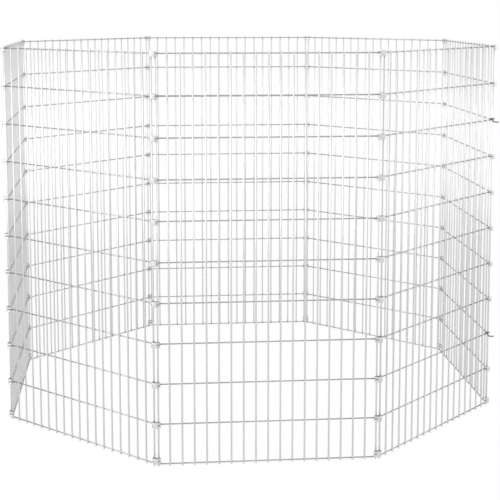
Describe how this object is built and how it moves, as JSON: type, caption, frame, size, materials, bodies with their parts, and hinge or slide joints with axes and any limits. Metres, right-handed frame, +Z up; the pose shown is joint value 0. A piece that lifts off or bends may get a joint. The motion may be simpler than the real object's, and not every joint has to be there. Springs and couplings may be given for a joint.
{
  "type": "folding animal pen",
  "caption": "Open-topped ring of welded wire mesh panels that fold on strip clips, with a panel that swings as the gate and wire hooks that latch it.",
  "frame": {"origin": "on the ground, at the middle of the ring", "axes": "+Z up along the upright wires; -Y towards the front panel; +X to the right, towards the right panel"},
  "size_m": [1.3415, 1.3366, 1.0103],
  "materials": {
    "wire": "zinc plated wire, satin",
    "strip": "zinc plated strip, bright satin",
    "hook": "darker zinc plated wire, satin"
  },
  "bodies": {
    "panel_front": {"panel_front": "wire"},
    "gate": {"panel_front_right": "wire", "closing_clip_level_00": "strip", "closing_clip_level_04": "strip", "closing_clip_level_06": "strip", "closing_clip_level_10": "strip"},
    "latch_hook_lower": {"latch_hook_lower": "hook"},
    "latch_hook_upper": {"latch_hook_upper": "hook"},
    "clips_corner_1": {"hinge_clip_corner_1_level_00": "strip", "hinge_clip_corner_1_level_02": "strip", "hinge_clip_corner_1_level_04": "strip", "hinge_clip_corner_1_level_06": "strip", "hinge_clip_corner_1_level_08": "strip", "hinge_clip_corner_1_level_10": "strip"},
    "clips_corner_0": {"hinge_clip_corner_0_level_00": "strip", "hinge_clip_corner_0_level_02": "strip", "hinge_clip_corner_0_level_04": "strip", "hinge_clip_corner_0_level_06": "strip", "hinge_clip_corner_0_level_08": "strip", "hinge_clip_corner_0_level_10": "strip"},
    "panel_front_left": {"panel_front_left": "wire"},
    "clips_corner_7": {"hinge_clip_corner_7_level_00": "strip", "hinge_clip_corner_7_level_02": "strip", "hinge_clip_corner_7_level_04": "strip", "hinge_clip_corner_7_level_06": "strip", "hinge_clip_corner_7_level_08": "strip", "hinge_clip_corner_7_level_10": "strip"},
    "panel_left": {"panel_left": "wire"},
    "clips_corner_6": {"hinge_clip_corner_6_level_00": "strip", "hinge_clip_corner_6_level_02": "strip", "hinge_clip_corner_6_level_04": "strip", "hinge_clip_corner_6_level_06": "strip", "hinge_clip_corner_6_level_08": "strip", "hinge_clip_corner_6_level_10": "strip"},
    "panel_back_left": {"panel_back_left": "wire"},
    "clips_corner_5": {"hinge_clip_corner_5_level_00": "strip", "hinge_clip_corner_5_level_02": "strip", "hinge_clip_corner_5_level_04": "strip", "hinge_clip_corner_5_level_06": "strip", "hinge_clip_corner_5_level_08": "strip", "hinge_clip_corner_5_level_10": "strip"},
    "panel_back": {"panel_back": "wire"},
    "clips_corner_4": {"hinge_clip_corner_4_level_00": "strip", "hinge_clip_corner_4_level_02": "strip", "hinge_clip_corner_4_level_04": "strip", "hinge_clip_corner_4_level_06": "strip", "hinge_clip_corner_4_level_08": "strip", "hinge_clip_corner_4_level_10": "strip"},
    "panel_back_right": {"panel_back_right": "wire"},
    "clips_corner_3": {"hinge_clip_corner_3_level_00": "strip", "hinge_clip_corner_3_level_02": "strip", "hinge_clip_corner_3_level_04": "strip", "hinge_clip_corner_3_level_06": "strip", "hinge_clip_corner_3_level_08": "strip", "hinge_clip_corner_3_level_10": "strip"},
    "panel_right": {"panel_right": "wire"}
  },
  "joints": [
    {"name": "gate_clips_swing", "type": "hinge", "parent": "panel_front", "child": "clips_corner_1", "pos_m": [0.2678, -0.6609, 0.5], "axis": [0, 0, -1], "range_deg": [0, 107.5]},
    {"name": "gate_swing", "type": "hinge", "parent": "clips_corner_1", "child": "gate", "pos_m": [0.27796, -0.65669, 0.5], "axis": [0, 0, -1], "range_deg": [0, 107.5]},
    {"name": "latch_hook_lower_turn", "type": "hinge", "parent": "gate", "child": "latch_hook_lower", "pos_m": [0.65669, -0.27796, 0.2045], "axis": [0, 0, 1], "range_deg": [0, 90]},
    {"name": "latch_hook_upper_turn", "type": "hinge", "parent": "gate", "child": "latch_hook_upper", "pos_m": [0.65669, -0.27796, 0.8045], "axis": [0, 0, 1], "range_deg": [0, 90]},
    {"name": "corner_0_clips_turn", "type": "hinge", "parent": "panel_front", "child": "clips_corner_0", "pos_m": [-0.2678, -0.6609, 0.5], "axis": [0, 0, 1], "range_deg": [0, 90]},
    {"name": "corner_0_panel_turn", "type": "hinge", "parent": "clips_corner_0", "child": "panel_front_left", "pos_m": [-0.27796, -0.65669, 0.5], "axis": [0, 0, -1], "range_deg": [-90, 0]},
    {"name": "corner_7_clips_turn", "type": "hinge", "parent": "panel_front_left", "child": "clips_corner_7", "pos_m": [-0.65669, -0.27796, 0.5], "axis": [0, 0, 1], "range_deg": [0, 90]},
    {"name": "corner_7_panel_turn", "type": "hinge", "parent": "clips_corner_7", "child": "panel_left", "pos_m": [-0.6609, -0.2678, 0.5], "axis": [0, 0, -1], "range_deg": [-90, 0]},
    {"name": "corner_6_clips_turn", "type": "hinge", "parent": "panel_left", "child": "clips_corner_6", "pos_m": [-0.6609, 0.2678, 0.5], "axis": [0, 0, 1], "range_deg": [0, 90]},
    {"name": "corner_6_panel_turn", "type": "hinge", "parent": "clips_corner_6", "child": "panel_back_left", "pos_m": [-0.65669, 0.27796, 0.5], "axis": [0, 0, -1], "range_deg": [-90, 0]},
    {"name": "corner_5_clips_turn", "type": "hinge", "parent": "panel_back_left", "child": "clips_corner_5", "pos_m": [-0.27796, 0.65669, 0.5], "axis": [0, 0, 1], "range_deg": [0, 90]},
    {"name": "corner_5_panel_turn", "type": "hinge", "parent": "clips_corner_5", "child": "panel_back", "pos_m": [-0.2678, 0.6609, 0.5], "axis": [0, 0, -1], "range_deg": [-90, 0]},
    {"name": "corner_4_clips_turn", "type": "hinge", "parent": "panel_back", "child": "clips_corner_4", "pos_m": [0.2678, 0.6609, 0.5], "axis": [0, 0, 1], "range_deg": [0, 90]},
    {"name": "corner_4_panel_turn", "type": "hinge", "parent": "clips_corner_4", "child": "panel_back_right", "pos_m": [0.27796, 0.65669, 0.5], "axis": [0, 0, -1], "range_deg": [-90, 0]},
    {"name": "corner_3_clips_turn", "type": "hinge", "parent": "panel_back_right", "child": "clips_corner_3", "pos_m": [0.65669, 0.27796, 0.5], "axis": [0, 0, 1], "range_deg": [-67.5, 90]},
    {"name": "corner_3_panel_turn", "type": "hinge", "parent": "clips_corner_3", "child": "panel_right", "pos_m": [0.6609, 0.2678, 0.5], "axis": [0, 0, -1], "range_deg": [-90, 67.5]}
  ]
}
